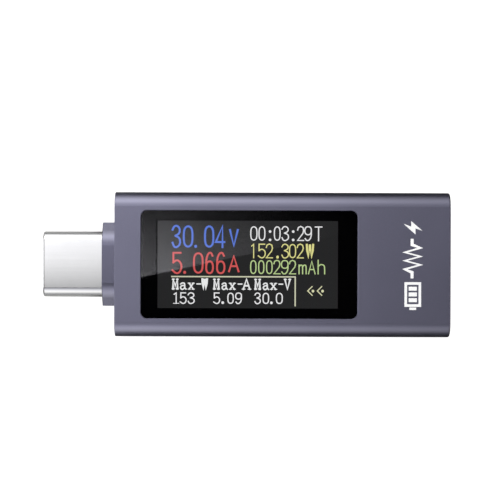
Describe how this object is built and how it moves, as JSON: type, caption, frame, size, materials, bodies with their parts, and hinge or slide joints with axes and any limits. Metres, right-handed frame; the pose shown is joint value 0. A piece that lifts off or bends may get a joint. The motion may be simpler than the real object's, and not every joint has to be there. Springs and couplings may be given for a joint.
{
  "type": "usb power meter",
  "caption": "In-line Type-C power meter: a rounded metal stick with a plug at one end, a socket at the other, a glass-covered colour display on its face and a small side button.",
  "frame": {"origin": "centre of the flat back face of the sleeve, the face it rests on", "axes": "+X from the plug end to the socket end along the body, +Y across the body, +Z out of the display face"},
  "size_m": [0.0509, 0.018, 0.0085],
  "materials": {
    "anodised_aluminium": "satin bead-blasted, slate blue-grey anodise",
    "black_nylon": "matte moulded",
    "clear_glass": "polished",
    "black_ink": "printed gloss black under glass",
    "black_adhesive": "foam-backed adhesive",
    "panel_glass": "polished thin glass",
    "polariser_film": "smooth dark film",
    "black_foam": "closed-cell foam",
    "silicon": "polished die",
    "polyimide": "amber film",
    "white_plastic": "moulded white",
    "clear_acrylic": "clear moulded",
    "white_film": "diffusing film",
    "led_package": "yellow phosphor in a white package",
    "board_laminate": "green solder mask",
    "chip_epoxy": "moulded epoxy",
    "shunt_alloy": "rolled alloy strip",
    "ferrite": "sintered grey-black",
    "tinned_can": "satin plated",
    "capacitor_ceramic": "fired tan ceramic",
    "resistor_ceramic": "glazed black top",
    "button_plastic": "fine texture, slate grey",
    "steel": "stamped stainless",
    "switch_stem_plastic": "moulded cream",
    "tinned_copper": "tinned",
    "bright_steel": "polished nickel-plated steel",
    "gold_plate": "gold plated"
  },
  "bodies": {
    "housing": {"body_sleeve": "anodised_aluminium", "plug_end_cap": "anodised_aluminium", "socket_end_cap": "black_nylon", "display_lens": "clear_glass", "lens_black_border": "black_ink", "lens_adhesive_frame": "black_adhesive", "lcd_front_glass": "panel_glass", "lcd_rear_glass": "panel_glass", "lcd_polariser": "polariser_film", "display_gasket": "black_foam", "lcd_driver_chip": "silicon", "display_flex_cable": "polyimide", "backlight_tray": "white_plastic", "light_guide": "clear_acrylic", "diffuser_films": "white_film", "backlight_leds": "led_package", "display_foam_tape": "black_foam", "main_board": "board_laminate", "insulating_film": "polyimide", "microcontroller": "chip_epoxy", "current_sense_amp": "chip_epoxy", "voltage_regulator": "chip_epoxy", "current_shunt": "shunt_alloy", "power_choke": "ferrite", "crystal": "tinned_can", "surge_diode": "chip_epoxy", "ceramic_capacitors": "capacitor_ceramic", "chip_resistors": "resistor_ceramic", "switch_base": "black_nylon", "switch_cover": "steel", "switch_dome": "steel", "switch_terminals": "tinned_copper", "plug_shell": "bright_steel", "plug_insulator": "black_nylon", "plug_contacts_upper": "gold_plate", "plug_contacts_lower": "gold_plate", "socket_shell": "bright_steel", "socket_insulator": "black_nylon", "socket_mid_plate": "steel", "socket_contacts_upper": "gold_plate", "socket_contacts_lower": "gold_plate"},
    "button": {"function_button": "button_plastic", "switch_plunger": "switch_stem_plastic"},
    "latch_left": {"plug_latch_left": "steel"},
    "latch_right": {"plug_latch_right": "steel"}
  },
  "joints": [
    {"name": "button_press", "type": "slide", "parent": "housing", "child": "button", "axis": [0, 1, 0], "range_m": [0, 0.00025]},
    {"name": "latch_left_spread", "type": "hinge", "parent": "housing", "child": "latch_left", "pos_m": [-0.02155, 0.00351, 0.00425], "axis": [0, 0, -1], "range_deg": [0, 1.9]},
    {"name": "latch_right_spread", "type": "hinge", "parent": "housing", "child": "latch_right", "pos_m": [-0.02155, -0.00351, 0.00425], "axis": [0, 0, 1], "range_deg": [0, 1.9]}
  ]
}
